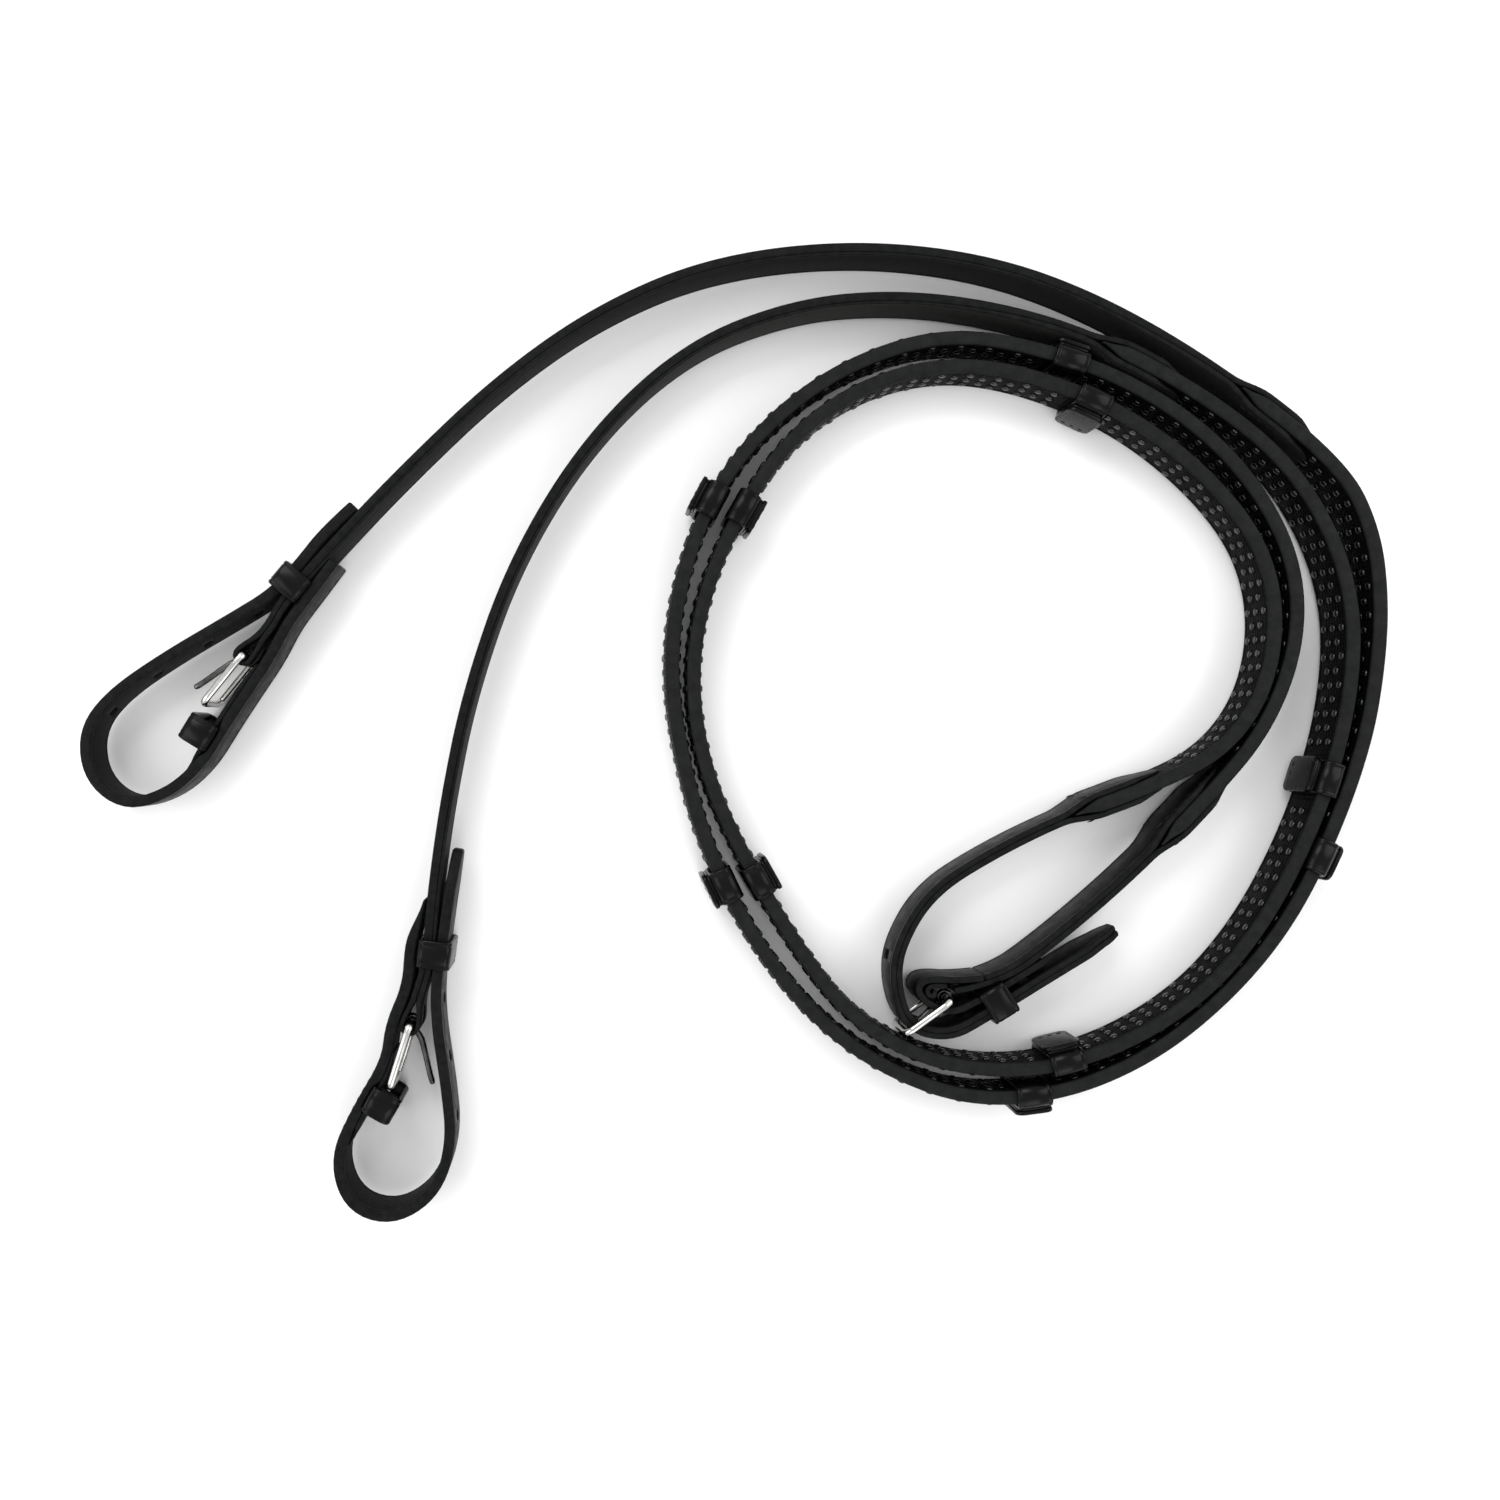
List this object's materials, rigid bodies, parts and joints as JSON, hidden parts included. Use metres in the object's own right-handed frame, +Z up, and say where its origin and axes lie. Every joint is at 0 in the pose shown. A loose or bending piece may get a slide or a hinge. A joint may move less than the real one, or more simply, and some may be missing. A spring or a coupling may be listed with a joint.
{
  "type": "riding reins",
  "caption": "Pair of leather riding reins with rubber grips and hand stops, buckled together and coiled on edge, with billets and keepers at the bit ends.",
  "frame": {"origin": "bottom centre of the bounding box, on the surface that the coiled reins stand on", "axes": "+X to the right of the coil seen from above, along its longest side; +Y away from the coil's near side; +Z up, across the width of the straps, which stand on edge"},
  "size_m": [0.432, 0.3238, 0.0212],
  "materials": {
    "leather": "satin black, smooth side",
    "leather_inner": "matt dark, flesh side",
    "rubber": "matt black, pimpled",
    "web": "woven web",
    "thread": "waxed thread",
    "metal": "bright nickel"
  },
  "bodies": {
    "root": {"centre_chape": "leather", "centre_keeper": "leather", "centre_stitches": "thread", "near_billet": "leather", "near_bit_chape": "leather", "near_bit_stitches": "thread", "near_centre_inner_ply": "leather_inner", "near_centre_outer_ply": "leather", "near_cheek_inner_ply": "leather_inner", "near_cheek_outer_ply": "leather", "near_grip_core": "web", "near_grip_cover": "rubber", "near_hand_stop_1": "leather", "near_hand_stop_2": "leather", "near_hand_stop_3": "leather", "near_hand_stop_4": "leather", "near_hand_stop_5": "leather", "near_keeper_tab": "leather", "near_lower_keeper": "leather", "near_splice_stitches": "thread", "near_upper_keeper": "leather", "off_billet": "leather", "off_bit_chape": "leather", "off_bit_stitches": "thread", "off_centre_inner_ply": "leather_inner", "off_centre_outer_ply": "leather", "off_cheek_inner_ply": "leather_inner", "off_cheek_outer_ply": "leather", "off_grip_core": "web", "off_grip_cover": "rubber", "off_hand_stop_1": "leather", "off_hand_stop_2": "leather", "off_hand_stop_3": "leather", "off_hand_stop_4": "leather", "off_hand_stop_5": "leather", "off_keeper_tab": "leather", "off_lower_keeper": "leather", "off_splice_stitches": "thread", "off_upper_keeper": "leather"},
    "near_buckle": {"near_bit_buckle_frame": "metal"},
    "near_tongue": {"near_bit_buckle_tongue": "metal"},
    "off_buckle": {"off_bit_buckle_frame": "metal"},
    "off_tongue": {"off_bit_buckle_tongue": "metal"},
    "centre_buckle": {"centre_buckle_frame": "metal"},
    "centre_tongue": {"centre_buckle_tongue": "metal"}
  },
  "joints": [
    {"name": "near_buckle_swing", "type": "hinge", "parent": "root", "child": "near_buckle", "pos_m": [-0.1615, 0.0255, 0.0106], "axis": [0, 0, 1], "range_deg": [-10, 10]},
    {"name": "near_tongue_swing", "type": "hinge", "parent": "root", "child": "near_tongue", "pos_m": [-0.1615, 0.0255, 0.0106], "axis": [0, 0, 1], "range_deg": [-13, 10]},
    {"name": "off_buckle_swing", "type": "hinge", "parent": "root", "child": "off_buckle", "pos_m": [-0.1065, -0.097, 0.0106], "axis": [0, 0, 1], "range_deg": [-1.5, 15]},
    {"name": "off_tongue_swing", "type": "hinge", "parent": "root", "child": "off_tongue", "pos_m": [-0.1065, -0.097, 0.0106], "axis": [0, 0, 1], "range_deg": [-15, 4]},
    {"name": "centre_buckle_swing", "type": "hinge", "parent": "root", "child": "centre_buckle", "pos_m": [0.0719, -0.0888, 0.0106], "axis": [0, 0, 1], "range_deg": [-1.5, 0]},
    {"name": "centre_tongue_swing", "type": "hinge", "parent": "root", "child": "centre_tongue", "pos_m": [0.0719, -0.0888, 0.0106], "axis": [0, 0, 1], "range_deg": [0, 1.5]}
  ]
}
